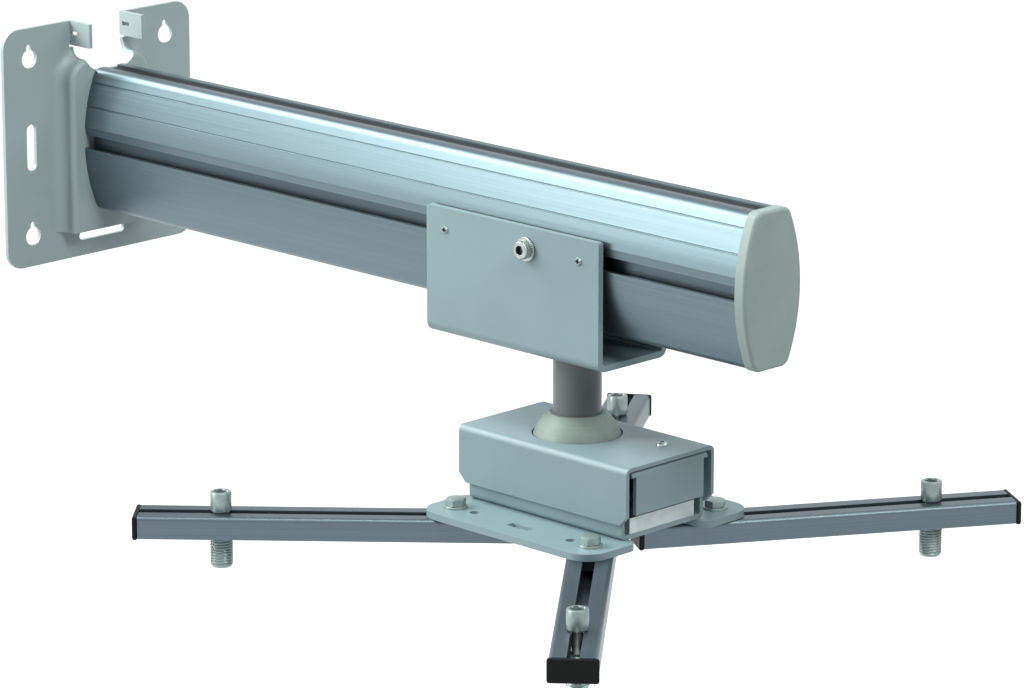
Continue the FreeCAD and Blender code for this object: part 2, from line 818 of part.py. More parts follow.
def guide_pads():
    pads = []
    rise = v.tslot_mouth / 2 - v.run_gap
    half = v.guide_pad_length / 2
    for end, x in enumerate(guide_xs):
        for side, tag in ((-1, "front"), (1, "back")):
            span = outward(side, boom_half - v.guide_pad_depth, bracket_inner)
            heights = (tslot_z - rise, tslot_z + rise)
            block = box(f"pad_block_{tag}_{end}", (x - half, x + half), span, heights)
            bore = rod(f"pad_bore_{tag}_{end}", v.guide_screw_dia / 2 + v.fit_gap, span, "Y", (x, tslot_z))
            pads.append(cut(f"guide_pad_{tag}_{end}", block, bore))
    return group("guide_pads", pads)


def guide_screws():
    screws = []
    for end, x in enumerate(guide_xs):
        for side, tag in ((-1, "front"), (1, "back")):
            at = (x, tslot_z)
            rise = v.guide_head_dia / 4
            head = outward(side, bracket_outer, bracket_outer + rise)
            shank = outward(side, boom_half - v.guide_pad_depth + v.fit_gap, bracket_outer + rise / 2)
            knob = rod(f"guide_head_{tag}_{end}", v.guide_head_dia / 2, head, "Y", at)
            stem = rod(f"guide_stem_{tag}_{end}", v.guide_screw_dia / 2, shank, "Y", at)
            screws.append(fuse(f"guide_screw_{tag}_{end}", knob, stem))
    return group("guide_screws", screws)


# Post and ball

def post_pieces():
    at = (post_x, ZERO)
    deck = carriage_floor + v.carriage_thick
    tube_radius = v.post_dia / 2
    bore_radius = tube_radius - v.post_wall
    plug_floor = carriage_floor - v.post_plug_length
    bolt_radius = v.post_bolt_dia / 2

    washer_span = (deck, deck + v.post_washer_thick)
    disc = rod("post_washer_disc", v.post_washer_dia / 2, washer_span, "Z", at)
    hole = rod("post_washer_hole", bolt_radius + v.fit_gap, washer_span, "Z", at)
    washer = cut("post_washer", disc, hole)

    seat = deck + v.post_washer_thick
    head = hexagon("post_bolt_hex", v.post_bolt_head, (seat, seat + v.post_bolt_head_height), "Z", at)
    shank = rod("post_bolt_shank", bolt_radius, (plug_floor, seat + OVERCUT), "Z", at)
    bolt = fuse("post_bolt", head, shank)

    plug_span = (plug_floor, carriage_floor)
    plug = rod("post_plug_blank", bore_radius - v.fit_gap, plug_span, "Z", at)
    plug = cut("post_plug", plug, rod("post_plug_thread", bolt_radius + v.fit_gap, plug_span, "Z", at))

    tube_span = (ball_z + v.ball_bore_floor, carriage_floor)
    tube = rod("post_tube_blank", tube_radius, tube_span, "Z", at)
    tube = cut("post_tube", tube, rod("post_tube_bore", bore_radius, tube_span, "Z", at))

    centre = (post_x, 0, ball_z)
    zone = (ball_z - v.ball_foot, ball_z + v.ball_top)
    blank = common("ball_zone", globe("ball_globe", v.ball_radius, centre),
                   rod("ball_slab", v.ball_radius, zone, "Z", at))
    bore_span = (ball_z + v.ball_bore_floor, zone[1] + OVERCUT)
    bore = rod("ball_bore", tube_radius + v.fit_gap, bore_span, "Z", at)
    ball = cut("post_ball", blank, bore)

    liner_inner = v.ball_radius + v.run_gap
    liner_outer = liner_inner + v.liner_thick
    belt = rod("liner_slab", liner_outer, (ball_z - v.liner_foot, ball_z - v.liner_top), "Z", at)
    belt = common("liner_zone", globe("liner_globe", liner_outer, centre), belt)
    liner = cut("ball_liner", belt, globe("liner_hollow", liner_inner, centre))
    return washer, bolt, plug, tube, ball, liner


# Head

def head_spots(span_x, span_y):
    """The four points of a rectangle about the head's middle, in the head's own frame."""
    return [(span_x / 2 * a, span_y / 2 * b) for a in (-1, 1) for b in (-1, 1)]


def on_head(obj):
    return place(obj, head_x, 0, 0)


def housing_shell():
    """The folded cover over the ball: roof, front wall and back wall, with cut lower corners."""
    floor = housing_roof - v.housing_height
    half = v.housing_length / 2
    shell = folded_channel("housing_sheet", v.housing_width / 2, v.housing_length, v.housing_thick,
                           housing_roof, floor, v.housing_bend)
    seat_height = v.ball_sink - v.housing_thick
    clear = v.ball_radius + v.run_gap
    hole = root(clear * clear - seat_height * seat_height)
    pocket_through(shell, circles(shell, "housing_hole", "XY_Plane", hole, [(-v.head_offset, 0)]))
    screw = [(top_screw_x, top_screw_y)]
    screw_hole = v.top_screw_dia / 2 + v.fit_gap
    pocket_through(shell, circles(shell, "housing_screw_hole", "XY_Plane", screw_hole, screw))
    for end in (-1, 1):
        tip = [(half * end, floor), (half * end, floor + v.housing_chamfer),
               ((half - v.housing_chamfer) * end, floor)]
        pocket_through(shell, outline(shell, f"housing_corner_{end + 1}", "XZ_Plane", tip))
    shell.Label = "housing_shell"
    return on_head(shell)


def inner_frame():
    """The folded frame inside the cover: a web under its roof and a narrower end panel at each end."""
    body = doc.addObject("PartDesign::Body", "inner_frame")
    web = housing_roof - v.housing_thick
    free = web - v.frame_height
    below = web - v.frame_thick
    section = [(-frame_half, web), (frame_half, web), (frame_half, free), (frame_inner, free),
               (frame_inner, below), (-frame_inner, below), (-frame_inner, free), (-frame_half, free)]
    width = (channel_inner - v.fit_gap) * 2
    pad(body, outline(body, "frame_section", "XZ_Plane", section), width)
    outer_bends = runs_along(1, (frame_half, web), (-frame_half, web))
    inner_bends = runs_along(1, (frame_inner, below), (-frame_inner, below))
    round_edges(body, "frame_outer_bend", v.sheet_bend + v.frame_thick, outer_bends)
    round_edges(body, "frame_inner_bend", v.sheet_bend, inner_bends)
    panel_half = channel_inner - v.frame_side_gap
    panel_top = below - v.sheet_bend
    for side in (-1, 1):
        beside = [(panel_half * side, panel_top), (channel_inner * side, panel_top),
                  (channel_inner * side, free), (panel_half * side, free)]
        pocket_through(body, outline(body, f"panel_side_{side + 1}", "YZ_Plane", beside))
    hole = v.ball_radius + v.frame_hole_gap
    pocket_through(body, circles(body, "frame_hole", "XY_Plane", hole, [(-v.head_offset, 0)]))
    screw = [(top_screw_x, top_screw_y)]
    screw_hole = v.top_screw_dia / 2 + v.fit_gap
    pocket_through(body, circles(body, "frame_screw_hole", "XY_Plane", screw_hole, screw))
    return on_head(body)


def head_channel():
    """The upright channel on the spider plate, with its rims inside the cover's walls."""
    body = folded_channel("head_channel", channel_half, v.channel_length, v.channel_thick, spider_top,
                          spider_top + v.channel_height, v.sheet_bend)
    spots = head_spots(clamp_bolt_span_x, clamp_bolt_span_y)
    hole = v.clamp_bolt_dia / 2 + v.fit_gap
    pocket_through(body, circles(body, "channel_bolt_holes", "XY_Plane", hole, spots))
    return on_head(body)


def socket_cup():
    """The casting under the ball: a round cup on a long base that the clamp bolts pass through."""
    floor = spider_top + v.channel_thick
    cup = rod("cup_blank", channel_inner - v.sheet_bend, (floor, ball_z - v.cup_top), "Z", (post_x, ZERO))
    base_half = v.channel_length / 2 - v.cup_base_inset
    base_span = (floor, floor + v.cup_base_height)
    base = box("cup_base", (head_x - base_half, head_x + base_half),
               both_ways(channel_inner - v.cup_base_side_gap), base_span)
    hollow = v.ball_radius + v.run_gap * 2 + v.liner_thick
    tools = [globe("cup_hollow", hollow, (post_x, 0, ball_z))]
    past = (floor - OVERCUT, base_span[1] + OVERCUT)
    for index, (dx, dy) in enumerate(head_spots(clamp_bolt_span_x, clamp_bolt_span_y)):
        at = (head_x + dx, dy)
        tools.append(rod(f"cup_bolt_hole_{index}", v.clamp_bolt_dia / 2 + v.fit_gap, past, "Z", at))
    return cut("socket_cup", fuse("cup_casting", cup, base), *tools)


def clamp_fasteners():
    """Countersunk bolts through the spider plate and channel, and their nuts under the frame's web."""
    bolts = []
    nuts = []
    web_floor = housing_roof - v.housing_thick - v.frame_thick
    radius = v.clamp_bolt_dia / 2
    nut_span = (web_floor - v.clamp_nut_height, web_floor)
    for index, (dx, dy) in enumerate(head_spots(clamp_bolt_span_x, clamp_bolt_span_y)):
        at = (head_x + dx, dy)
        head = (spider_floor, spider_floor + (v.clamp_bolt_head - v.clamp_bolt_dia) / 2)
        cone = taper(f"clamp_cone_{index}", v.clamp_bolt_head / 2, radius, head, "Z", at)
        shank = rod(f"clamp_stem_{index}", radius, (spider_floor, web_floor), "Z", at)
        bolts.append(fuse(f"clamp_bolt_{index}", cone, shank))
        nut = hexagon(f"clamp_nut_hex_{index}", v.clamp_nut_flats, nut_span, "Z", at)
        bore = rod(f"clamp_nut_bore_{index}", radius + v.fit_gap, nut_span, "Z", at)
        nuts.append(cut(f"clamp_nut_{index}", nut, bore))
    return group("clamp_bolts", bolts), group("clamp_nuts", nuts)


def top_screw():
    at = (head_x + top_screw_x, top_screw_y)
    head_span = (housing_roof, housing_roof + v.top_screw_head_height)
    shank_span = (housing_roof - v.top_screw_length, housing_roof + OVERCUT)
    head = rod("top_screw_button", v.top_screw_head / 2, head_span, "Z", at)
    shank = rod("top_screw_shank", v.top_screw_dia / 2, shank_span, "Z", at)
    return fuse("top_screw", head, shank)


def spider_plate():
    """The flat plate with an ear at each corner for an arm, cut away between the ears at both ends."""
    body = doc.addObject("PartDesign::Body", "spider_blank")
    half_x = v.ear_span_x / 2 + v.ear_reach_x
    half_y = v.ear_span_y / 2 + v.ear_reach_y
    notch_x = half_x - v.side_notch_depth
    notch_y = v.side_notch_width / 2
    half = [(half_x, -half_y), (half_x, -notch_y), (notch_x, -notch_y),
            (notch_x, notch_y), (half_x, notch_y), (half_x, half_y)]
    other = [(-x, -y) for x, y in half]
    pad(body, outline(body, "spider_outline", "XY_Plane", half + other), v.spider_thick)
    tips = [(x, y) for x in both_ways(half_x) for y in both_ways(half_y)]
    round_edges(body, "ear_tips", v.ear_corner, runs_along(2, *tips))
    mouths = [(x, y) for x in both_ways(half_x) for y in both_ways(notch_y)]
    insides = [(x, y) for x in both_ways(notch_x) for y in both_ways(notch_y)]
    round_edges(body, "notch_corners", v.side_notch_corner, runs_along(2, *(mouths + insides)))
    ears = head_spots(v.ear_span_x, v.ear_span_y)
    pocket_through(body, circles(body, "ear_holes", "XY_Plane", v.pivot_bolt_dia / 2 + v.pivot_gap, ears))
    spares = head_spots(v.ear_span_x - v.spider_hole_inset * 2, v.ear_span_y)
    pocket_through(body, circles(body, "spare_holes", "XY_Plane", v.spider_hole_dia / 2, spares))
    slot_x = v.spider_slot_length / 2
    slot_rise = v.spider_slot_width / 2
    for side in (-1, 1):
        y = v.spider_slot_y * side
        slot = [(-slot_x, y - slot_rise), (slot_x, y - slot_rise),
                (slot_x, y + slot_rise), (-slot_x, y + slot_rise)]
        pocket_through(body, outline(body, f"spider_slot_{side + 1}", "XY_Plane", slot))
    place(body, head_x, 0, spider_top - v.spider_thick / 2)

    tools = []
    through = (spider_floor - OVERCUT, spider_top + OVERCUT)
    for index, (dx, dy) in enumerate(head_spots(clamp_bolt_span_x, clamp_bolt_span_y)):
        at = (head_x + dx, dy)
        tools.append(rod(f"spider_bolt_hole_{index}", v.clamp_bolt_dia / 2 + v.fit_gap, through, "Z", at))
        sink = (spider_floor, spider_floor + (v.clamp_bolt_head - v.clamp_bolt_dia) / 2)
        tools.append(taper(f"spider_sink_{index}", v.clamp_bolt_head / 2 + v.fit_gap,
                           v.clamp_bolt_dia / 2 + v.fit_gap, sink, "Z", at))
    return cut("spider_plate", body, *tools)


# Arms, each drawn along X from its ear bolt with Z = 0 on its top face, then turned into place

ARMS = {"left": (-1, -1), "front": (1, -1), "right": (1, 1), "back": (-1, 1)}


def arm_pieces(name):
    corner_x, corner_y = ARMS[name]
    ear = (head_x + v.ear_span_x / 2 * corner_x, v.ear_span_y / 2 * corner_y)
    angle = getattr(v, f"{name}_angle")
    inner_end = -getattr(v, f"{name}_tail")
    reach = inner_end + v.arm_length
    foot = reach - getattr(v, f"{name}_foot_inset")
    axis = (ZERO, ZERO)
    arm_half = v.arm_width / 2
    room_half = arm_half - v.arm_wall
    room_floor = v.arm_height - v.arm_wall
    slot_half = v.arm_slot / 2

    def turned(obj):
        return place(obj, ear[0], ear[1], arm_top, Z_AXIS, angle)

    # profile
    profile = doc.addObject("PartDesign::Body", f"{name}_arm")
    section = [(-slot_half, 0), (-slot_half, -v.arm_wall), (-room_half, -v.arm_wall),
               (-room_half, -room_floor), (room_half, -room_floor),
               (room_half, -v.arm_wall), (slot_half, -v.arm_wall), (slot_half, 0),
               (arm_half, 0), (arm_half, -v.arm_height), (-arm_half, -v.arm_height), (-arm_half, 0)]
    stock = v.arm_length - v.arm_cap_thick * 2
    pad(profile, outline(profile, f"{name}_section", "YZ_Plane", section), stock, "One side")
    brows = runs_along(0, (arm_half, 0), (-arm_half, 0))
    round_edges(profile, f"{name}_arm_edges", v.arm_edge, brows)
    slot_end = stock - v.floor_slot_inset
    slot_start = slot_end - v.floor_slot_length
    floor_slot = [(slot_start, -slot_half), (slot_end, -slot_half),
                  (slot_end, slot_half), (slot_start, slot_half)]
    pocket_through(profile, outline(profile, f"{name}_floor_slot", "XY_Plane", floor_slot))
    start = inner_end + v.arm_cap_thick
    place(profile, ear[0] + start * cosine(angle), ear[1] + start * sine(angle), arm_top, Z_AXIS, angle)

    # end caps
    caps = []
    lip = arm_half + v.arm_cap_lip
    plug_half = room_half - v.fit_gap
    plug_rise = (-room_floor + v.fit_gap, -v.arm_wall - v.fit_gap)
    for end, tag in ((-1, "inner"), (1, "outer")):
        near = inner_end + v.arm_cap_thick if end < 0 else reach - v.arm_cap_thick
        far = inner_end if end < 0 else reach
        deep = near - v.arm_cap_plug * end
        face_span = (far, near) if end < 0 else (near, far)
        plug_span = (near - v.fit_gap, deep) if end < 0 else (deep, near + v.fit_gap)
        face_rise = (-v.arm_height - v.arm_cap_lip, -v.slide_gap)
        face = box(f"{name}_{tag}_cap_blank", face_span, both_ways(lip), face_rise)
        face = rounded(f"{name}_{tag}_cap_face", face, (v.arm_cap_edge, lies_at(0, far)))
        plug = box(f"{name}_{tag}_cap_plug", plug_span, both_ways(plug_half), plug_rise)
        caps.append(fuse(f"{name}_{tag}_cap", face, plug))
    caps = turned(group(f"{name}_arm_caps", caps))

    # ear bolt, washer and slide nut
    washer_floor = v.slide_gap + v.spider_thick
    seat = washer_floor + v.pivot_washer_thick
    nut_top = -v.arm_wall - v.slide_gap
    nut_span = (nut_top - v.slide_nut_thick, nut_top)
    bolt_radius = v.pivot_bolt_dia / 2
    head = hexagon(f"{name}_bolt_hex", v.pivot_head_flats, (seat, seat + v.pivot_head_height), "Z", axis)
    shank = rod(f"{name}_bolt_shank", bolt_radius, (nut_span[0] - v.bolt_tip, seat + OVERCUT), "Z", axis)
    bolt = turned(fuse(f"{name}_pivot_bolt", head, shank))
    disc = rod(f"{name}_washer_disc", v.pivot_washer_dia / 2, (washer_floor, seat), "Z", axis)
    hole = rod(f"{name}_washer_hole", bolt_radius + v.fit_gap, (washer_floor, seat), "Z", axis)
    washer = turned(cut(f"{name}_pivot_washer", disc, hole))
    nut_half = v.slide_nut_length / 2
    nut = box(f"{name}_nut_block", both_ways(nut_half), both_ways(room_half - v.run_gap), nut_span)
    thread = rod(f"{name}_nut_bore", bolt_radius + v.fit_gap, nut_span, "Z", axis)
    nut = turned(cut(f"{name}_slide_nut", nut, thread))

    # foot: a sleeve nut on top of the arm and a spacer below it whose neck passes through the slots
    spot = (foot, ZERO)
    foot_radius = v.foot_dia / 2
    neck_radius = v.foot_neck / 2
    sleeve_span = (v.slide_gap, v.foot_rise)
    neck_top = v.slide_gap + v.foot_neck_rise
    sleeve = rod(f"{name}_sleeve", v.sleeve_dia / 2, sleeve_span, "Z", spot)
    bore = rod(f"{name}_sleeve_bore", neck_radius + v.fit_gap, (0, neck_top), "Z", spot)
    socket_span = (v.foot_rise - v.foot_socket_depth, v.foot_rise + OVERCUT)
    socket = hexagon(f"{name}_sleeve_socket", v.foot_socket, socket_span, "Z", spot)
    sleeve = turned(cut(f"{name}_foot_nut", sleeve, bore, socket))
    spacer_top = -v.arm_height - v.slide_gap
    spacer_floor = -v.arm_height - v.foot_drop
    spacer = rod(f"{name}_spacer", foot_radius, (spacer_floor, spacer_top), "Z", spot)
    neck = rod(f"{name}_neck", neck_radius, (spacer_top - OVERCUT, neck_top), "Z", spot)
    tapped_span = (spacer_floor - OVERCUT, spacer_floor + v.foot_thread_depth)
    tapped = rod(f"{name}_tapped", v.foot_thread_bore / 2, tapped_span, "Z", spot)
    spacer = turned(cut(f"{name}_foot_spacer", fuse(f"{name}_spacer_blank", spacer, neck), tapped))
    return bolt, washer, nut, profile, caps, sleeve, spacer


# Assembly

subpart(wall_bracket())
subpart(boom())
subpart(boom_end_cap())
subpart(cable_cover_strip())
subpart(boom_screws())
subpart(carriage_bracket())
subpart(group("clamp_screws", mirrored_pair(clamp_screw)))
subpart(group("clamp_washers", mirrored_pair(clamp_washer)))
subpart(group("slot_nuts", mirrored_pair(slot_nut)))
subpart(guide_pads())
subpart(guide_screws())
for piece in post_pieces():
    subpart(piece)
subpart(housing_shell())
subpart(inner_frame())
subpart(head_channel())
subpart(socket_cup())
for piece in clamp_fasteners():
    subpart(piece)
subpart(top_screw())
subpart(spider_plate())
for arm_name in ARMS:
    for piece in arm_pieces(arm_name):
        subpart(piece)
doc.recompute()

# Checks, then one file for each sub-part

for obj in doc.Objects:
    if "Invalid" in obj.State or "Error" in obj.State:
        raise RuntimeError(f"{obj.Label} did not build: {obj.State}")
for obj in subparts:
    if obj.Shape.isNull() or not obj.Shape.isValid() or not obj.Shape.Solids:
        raise RuntimeError(f"{obj.Label} has no valid solid")

os.makedirs("parts", exist_ok=True)
for obj in subparts:
    obj.Shape.exportStep(os.path.join("parts", f"{obj.Label}.step"))
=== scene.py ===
"""Looks of the projector wall mount: camera, studio, finishes and the fine fasteners."""
import json
import math

import bpy
from mathutils import Matrix, Vector


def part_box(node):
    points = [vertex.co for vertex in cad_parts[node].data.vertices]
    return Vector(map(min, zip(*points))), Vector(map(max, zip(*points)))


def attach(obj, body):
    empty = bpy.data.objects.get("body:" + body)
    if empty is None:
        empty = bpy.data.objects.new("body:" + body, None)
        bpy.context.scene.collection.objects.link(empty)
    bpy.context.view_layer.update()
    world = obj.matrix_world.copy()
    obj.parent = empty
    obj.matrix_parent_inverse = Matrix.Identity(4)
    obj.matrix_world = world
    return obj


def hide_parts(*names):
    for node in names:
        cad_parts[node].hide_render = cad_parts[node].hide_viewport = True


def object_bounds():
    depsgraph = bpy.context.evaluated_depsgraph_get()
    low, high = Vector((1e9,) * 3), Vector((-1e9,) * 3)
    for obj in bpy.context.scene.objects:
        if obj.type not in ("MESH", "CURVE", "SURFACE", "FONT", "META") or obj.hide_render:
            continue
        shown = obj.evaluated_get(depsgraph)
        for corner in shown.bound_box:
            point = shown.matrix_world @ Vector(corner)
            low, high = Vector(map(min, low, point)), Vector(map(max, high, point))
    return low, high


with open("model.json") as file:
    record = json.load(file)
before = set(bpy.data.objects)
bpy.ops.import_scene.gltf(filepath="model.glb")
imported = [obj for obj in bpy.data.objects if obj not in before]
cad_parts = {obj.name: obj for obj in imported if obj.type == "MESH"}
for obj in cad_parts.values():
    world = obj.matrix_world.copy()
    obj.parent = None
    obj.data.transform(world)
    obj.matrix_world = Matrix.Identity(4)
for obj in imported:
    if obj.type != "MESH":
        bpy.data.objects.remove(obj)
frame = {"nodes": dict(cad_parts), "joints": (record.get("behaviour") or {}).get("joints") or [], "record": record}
nodes = frame["nodes"]
cad_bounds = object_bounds()
slots = {row["node"]: row["material_slot"] for row in frame["record"]["subparts"]}

MM = 0.001
ARMS = ("left", "front", "right", "back")


# Camera, at the photograph's angle

CAMERA_PLACE = (2.8609, -2.4385, 0.8327)
CAMERA_AZIMUTH = 44.82
CAMERA_ELEVATION = 14.885
CAMERA_LENS = 180.14
CAMERA_SENSOR = 36.0
CAMERA_FAR = 100.0


def add_camera():
    data = bpy.data.cameras.new("camera")
    data.lens = CAMERA_LENS
    data.sensor_width = CAMERA_SENSOR
    data.clip_end = CAMERA_FAR
    camera = bpy.data.objects.new("camera", data)
    camera.location = CAMERA_PLACE
    camera.rotation_euler = (math.radians(90 - CAMERA_ELEVATION), 0, math.radians(CAMERA_AZIMUTH))
    bpy.context.scene.collection.objects.link(camera)
    bpy.context.scene.camera = camera


# Node trees

# The range in which a noise's values mostly lie
NOISE_LOW = 0.3
NOISE_HIGH = 0.7
# The cosine between a face's own normal and the rounded one, on an edge and clear of it
EDGE_COSINES = (0.86, 0.995)
EDGE_SAMPLES = 4
# The open share of the sky above a face, deep in a hollow and clear of it, for the shade painted into hollows
HOLLOW_SKY = (0.3, 0.85)
HOLLOW_SAMPLES = 6


class Finish:
    """A material around one Principled shader, with short calls for the nodes that feed it."""

    def __init__(self, name, **sockets):
        self.material = bpy.data.materials.new(name)
        self.material.use_nodes = True
        self.tree = self.material.node_tree
        self.surface = self.tree.nodes["Principled BSDF"]
        for socket, value in sockets.items():
            self.surface.inputs[socket.replace("_", " ")].default_value = value

    def node(self, kind, inputs=None, **settings):
        made = self.tree.nodes.new(kind)
        for name, value in settings.items():
            setattr(made, name, value)
        for name, value in (inputs or {}).items():
            if hasattr(value, "is_output"):
                self.tree.links.new(value, made.inputs[name])
            else:
                made.inputs[name].default_value = value
        return made

    def feed(self, socket, output):
        self.tree.links.new(output, self.surface.inputs[socket])

    def place(self, scale=(1, 1, 1), turn=0):
        """Object coordinates, turned about Z so that X runs along the piece, then stretched."""
        where = self.node("ShaderNodeTexCoord").outputs["Object"]
        turned = self.node("ShaderNodeMapping", {"Vector": where, "Rotation": (0, 0, -turn)})
        inputs = {"Vector": turned.outputs["Vector"], "Scale": scale}
        return self.node("ShaderNodeMapping", inputs).outputs["Vector"]

    def noise(self, vector, scale, detail=3.0, roughness=0.5):
        inputs = {"Vector": vector, "Scale": scale, "Detail": detail, "Roughness": roughness}
        return self.node("ShaderNodeTexNoise", inputs).outputs["Fac"]

    def spread(self, value, low, high, start=NOISE_LOW, end=NOISE_HIGH):
        """The value, taken from the range start to end onto the range low to high."""
        inputs = {"Value": value, "From Min": start, "From Max": end, "To Min": low, "To Max": high}
        return self.node("ShaderNodeMapRange", inputs).outputs["Result"]

    def shades(self, value, dark, light):
        ramp = self.node("ShaderNodeValToRGB", {"Fac": value})
        ramp.color_ramp.elements[0].position = NOISE_LOW
        ramp.color_ramp.elements[0].color = (*dark, 1)
        ramp.color_ramp.elements[1].position = NOISE_HIGH
        ramp.color_ramp.elements[1].color = (*light, 1)
        return ramp.outputs["Color"]

    def edges(self, radius):
        """1 along the edges that a radius would round, else 0."""
        flat = self.node("ShaderNodeNewGeometry").outputs["True Normal"]
        eased = self.node("ShaderNodeBevel", {"Radius": radius}, samples=EDGE_SAMPLES).outputs["Normal"]
        cosine = self.node("ShaderNodeVectorMath", operation="DOT_PRODUCT")
        self.tree.links.new(flat, cosine.inputs[0])
        self.tree.links.new(eased, cosine.inputs[1])
        return self.spread(cosine.outputs["Value"], 1.0, 0.0, *EDGE_COSINES)

    def hollow_shade(self, reach):
        """1 deep in the narrow hollows of the piece itself, 0 in the open: the mask for shade painted into
        hollows.
        """
        sky = self.node("ShaderNodeAmbientOcclusion", {"Distance": reach}, samples=HOLLOW_SAMPLES,
                        only_local=True)
        return self.spread(sky.outputs["AO"], 1.0, 0.0, *HOLLOW_SKY)

    def mixed(self, colour, other, share):
        """The colour, going to a plain other one by the share."""
        mix = self.node("ShaderNodeMix", data_type="RGBA")
        first, second = [socket for socket in mix.inputs if socket.type == "RGBA"]
        self.tree.links.new(share, mix.inputs[0])
        self.tree.links.new(colour, first)
        second.default_value = (*other, 1)
        return next(socket for socket in mix.outputs if socket.type == "RGBA")

    def edges_worn_and_highlit(self, colour, worn_highlit_colour, radius, wear_and_highlight):
        """The colour, with the edges going to a paler colour where the noise lets them: partly wear, partly a
        painted highlight.
        """
        share = self.node("ShaderNodeMath", operation="MULTIPLY")
        self.tree.links.new(self.edges(radius), share.inputs[0])
        self.tree.links.new(wear_and_highlight, share.inputs[1])
        return self.mixed(colour, worn_highlit_colour, share.outputs[0])

    def bump(self, height, strength, distance, below=None):
        inputs = {"Height": height, "Strength": strength, "Distance": distance}
        if below is not None:
            inputs["Normal"] = below
        return self.node("ShaderNodeBump", inputs).outputs["Normal"]


def linear(red, green, blue):
    """A colour given as 0 to 255 display values, as linear light."""
    def channel(value):
        value /= 255
        return value / 12.92 if value <= 0.04045 else ((value + 0.055) / 1.055) ** 2.4
    return tuple(channel(value) for value in (red, green, blue))


def scaled(colour, factor):
    return tuple(min(1.0, value * factor) for value in colour)


# Finishes

EDGE_WIDTH = 0.7 * MM
GROOVE_SHADE_REACH = 14 * MM


def powder_coat(name, colour, gloss=0.42):
    """Satin powder coat: faint clouding, a fine orange-peel skin, and edges painted paler, partly as thinner paint
    and partly as a painted highlight.
    """
    finish = Finish(name, Specular_IOR_Level=0.45)
    where = finish.place()
    clouds = finish.shades(finish.noise(where, 9, 4), scaled(colour, 0.95), scaled(colour, 1.05))
    wear_and_highlight = finish.spread(finish.noise(where, 130, 3), 0.15, 0.6)
    # Edges painted paler: partly wear, partly a painted highlight
    finish.feed("Base Color", finish.edges_worn_and_highlit(clouds, scaled(colour, 1.5), EDGE_WIDTH, wear_and_highlight))
    finish.feed("Roughness", finish.spread(finish.noise(where, 45, 3), gloss - 0.04, gloss + 0.05))
    peel = finish.bump(finish.noise(where, 620, 2), 0.10, 0.0004)
    finish.feed("Normal", finish.bump(finish.noise(where, 2600, 2), 0.08, 0.0002, peel))
    return finish.material


def anodised(name, colour, turn=0.0, metal=0.9, gloss=0.36):
    """Satin anodised extrusion with faint die lines along its length, edges painted paler as rubbed wear
    and as a painted highlight, and shade painted darker into its grooves and hollows."""
    finish = Finish(name, Metallic=metal)
    lines = finish.noise(finish.place((0.4, 700, 700), turn), 1, 4, 0.65)
    fine = finish.noise(finish.place((3, 2600, 2600), turn), 1, 2)
    drawn = finish.shades(lines, scaled(colour, 0.92), scaled(colour, 1.06))
    wear_and_highlight = finish.spread(finish.noise(finish.place(), 90, 3), 0.2, 0.6)
    # Painted shade: the colour goes to half its brightness in the piece's own grooves and hollows
    shaded_in_grooves = finish.mixed(drawn, scaled(colour, 0.5), finish.hollow_shade(GROOVE_SHADE_REACH))
    # Edges painted paler: partly rubbed wear, partly a painted highlight
    finish.feed("Base Color", finish.edges_worn_and_highlit(shaded_in_grooves, scaled(colour, 1.6), EDGE_WIDTH, wear_and_highlight))
    finish.feed("Roughness", finish.spread(fine, gloss - 0.05, gloss + 0.07))
    finish.feed("Normal", finish.bump(lines, 0.08, 0.0001))
    return finish.material


def plated(name, colour, gloss=0.36, mottle=160, metal=0.6):
    """Plated steel: slight mottling and short random scratches."""
    finish = Finish(name, Metallic=metal)
    where = finish.place()
    spots = finish.noise(where, mottle, 5, 0.6)
    finish.feed("Base Color", finish.shades(spots, scaled(colour, 0.84), scaled(colour, 1.1)))
    finish.feed("Roughness", finish.spread(finish.noise(where, 900, 3), gloss - 0.07, gloss + 0.1))
    finish.feed("Normal", finish.bump(finish.noise(where, 1500, 3), 0.08, 0.0001))
    return finish.material


def moulded(name, colour, gloss=0.5, grain=1700, shine=0.4):
    """Moulded plastic with a fine eroded grain."""
    finish = Finish(name, Specular_IOR_Level=shine)
    where = finish.place()
    clouds = finish.noise(where, 25, 3)
    finish.feed("Base Color", finish.shades(clouds, scaled(colour, 0.93), scaled(colour, 1.06)))
    finish.feed("Roughness", finish.spread(finish.noise(where, 320, 3), gloss - 0.05, gloss + 0.07))
    finish.feed("Normal", finish.bump(finish.noise(where, grain, 3), 0.16, 0.0002))
    return finish.material


def turned_metal(name, colour, gloss=0.66):
    """Turned metal: rings about the vertical axis."""
    finish = Finish(name, Metallic=0.5)
    rings = finish.noise(finish.place((25, 25, 1400)), 1, 3)
    finish.feed("Base Color", finish.shades(rings, scaled(colour, 0.94), scaled(colour, 1.04)))
    sheen = finish.noise(finish.place(), 70, 3)
    finish.feed("Roughness", finish.spread(sheen, gloss - 0.06, gloss + 0.08))
    finish.feed("Normal", finish.bump(rings, 0.08, 0.0001))
    return finish.material


def cast_metal(name, colour):
    """Raw casting: clouded, with a pitted skin."""
    finish = Finish(name, Metallic=0.9)
    where = finish.place()
    clouds = finish.noise(where, 60, 4)
    finish.feed("Base Color", finish.shades(clouds, scaled(colour, 0.85), scaled(colour, 1.08)))
    finish.feed("Roughness", finish.spread(finish.noise(where, 200, 3), 0.48, 0.62))
    finish.feed("Normal", finish.bump(finish.noise(where, 500, 4), 0.3, 0.0004))
    return finish.material


BRACKET_GREY = linear(155, 171, 174)
HEAD_GREY = linear(125, 147, 154)
BOOM_SILVER = linear(96, 112, 120)
ARM_SILVER = linear(96, 110, 119)
CAP_GREY = linear(146, 162, 160)
BLACK = linear(6, 7, 8)
ZINC = linear(146, 162, 160)
BRIGHT = linear(172, 182, 180)
DARK_STEEL = linear(62, 74, 84)
POST_GREY = linear(98, 102, 105)
NICKEL = linear(128, 142, 137)
CAST = linear(176, 187, 189)

